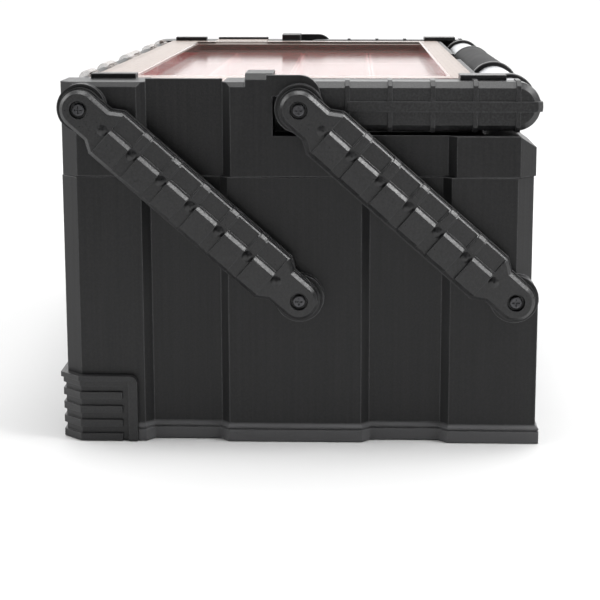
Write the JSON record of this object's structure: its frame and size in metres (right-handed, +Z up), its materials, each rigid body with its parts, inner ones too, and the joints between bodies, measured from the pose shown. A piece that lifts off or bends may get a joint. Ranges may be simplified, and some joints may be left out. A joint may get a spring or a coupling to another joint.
{
  "type": "toolbox",
  "caption": "Cantilever toolbox: an organiser tray with a clear hinged lid swings up and forward off a deep base on parallel arms, with a folding tube handle and front latches.",
  "frame": {"origin": "middle of the box on the floor it stands on", "axes": "+X along the box from end to end, -Y towards the handle side the tray swings to, +Z up"},
  "size_m": [0.559, 0.3212, 0.2467],
  "materials": {
    "body_black": "fine-textured satin black moulded polypropylene",
    "guard_black": "fine-textured satin black moulded plastic",
    "arm_black": "satin black moulded plastic",
    "handle_black": "satin black moulded plastic",
    "latch_black": "satin black moulded plastic",
    "lid_clear": "clear moulded plastic, polished window in a lightly frosted frame",
    "bin_red": "semi-gloss red moulded plastic",
    "tube_silver": "satin drawn tube",
    "grip_black": "smooth matt black sleeve",
    "collar_black": "semi-gloss black",
    "sleeve_nylon": "plain black nylon",
    "steel_dark": "black-coated steel"
  },
  "bodies": {
    "base": {"base_box": "body_black", "guard_right": "guard_black", "guard_left": "guard_black", "base_pivot_screws": "steel_dark", "base_pivot_washers": "sleeve_nylon"},
    "front_arms": {"front_arm_right": "arm_black", "front_arm_left": "arm_black"},
    "rear_arms": {"rear_arm_right": "arm_black", "rear_arm_left": "arm_black"},
    "tray": {"tray": "body_black", "tray_pivot_screws": "steel_dark", "tray_pivot_washers": "sleeve_nylon", "handle_sleeve_right": "sleeve_nylon", "handle_sleeve_left": "sleeve_nylon", "lid_hinge_rod": "steel_dark", "latch_pins": "steel_dark", "bin_11": "bin_red", "bin_12": "bin_red", "bin_13": "bin_red", "bin_14": "bin_red", "bin_21": "bin_red", "bin_22": "bin_red", "bin_23": "bin_red", "bin_24": "bin_red", "bin_31": "bin_red", "bin_32": "bin_red", "bin_33": "bin_red", "bin_34": "bin_red"},
    "lid": {"lid": "lid_clear"},
    "handle": {"handle_bar_right": "handle_black", "handle_bar_left": "handle_black", "handle_tube": "tube_silver", "handle_grip": "grip_black", "grip_ring_right": "collar_black", "grip_ring_left": "collar_black", "collar_right": "collar_black", "collar_left": "collar_black"},
    "latch_right": {"latch_right": "latch_black"},
    "latch_left": {"latch_left": "latch_black"}
  },
  "joints": [
    {"name": "tray_swing", "type": "hinge", "parent": "base", "child": "front_arms", "pos_m": [0, -0.141, 0.0995], "axis": [1, 0, 0], "range_deg": [0, 95]},
    {"name": "tray_level", "type": "hinge", "parent": "front_arms", "child": "tray", "pos_m": [0, 0, 0.2244], "axis": [1, 0, 0], "range_deg": [-95, 0]},
    {"name": "rear_arm_swing", "type": "hinge", "parent": "base", "child": "rear_arms", "pos_m": [0, 0, 0.0995], "axis": [1, 0, 0], "range_deg": [0, 95]},
    {"name": "handle_fold", "type": "hinge", "parent": "tray", "child": "handle", "pos_m": [0, 0, 0.2244], "axis": [-1, 0, 0], "range_deg": [0, 90]},
    {"name": "lid_hinge", "type": "hinge", "parent": "tray", "child": "lid", "pos_m": [0, 0.15, 0.238], "axis": [-1, 0, 0], "range_deg": [0, 105]},
    {"name": "latch_right_turn", "type": "hinge", "parent": "tray", "child": "latch_right", "pos_m": [0.138, -0.153, 0.192], "axis": [-1, 0, 0], "range_deg": [0, 100]},
    {"name": "latch_left_turn", "type": "hinge", "parent": "tray", "child": "latch_left", "pos_m": [-0.138, -0.153, 0.192], "axis": [-1, 0, 0], "range_deg": [0, 100]}
  ],
  "couplings": [
    {"joint": "tray_level", "follows": "tray_swing", "ratio": -1},
    {"joint": "rear_arm_swing", "follows": "tray_swing", "ratio": 1}
  ]
}
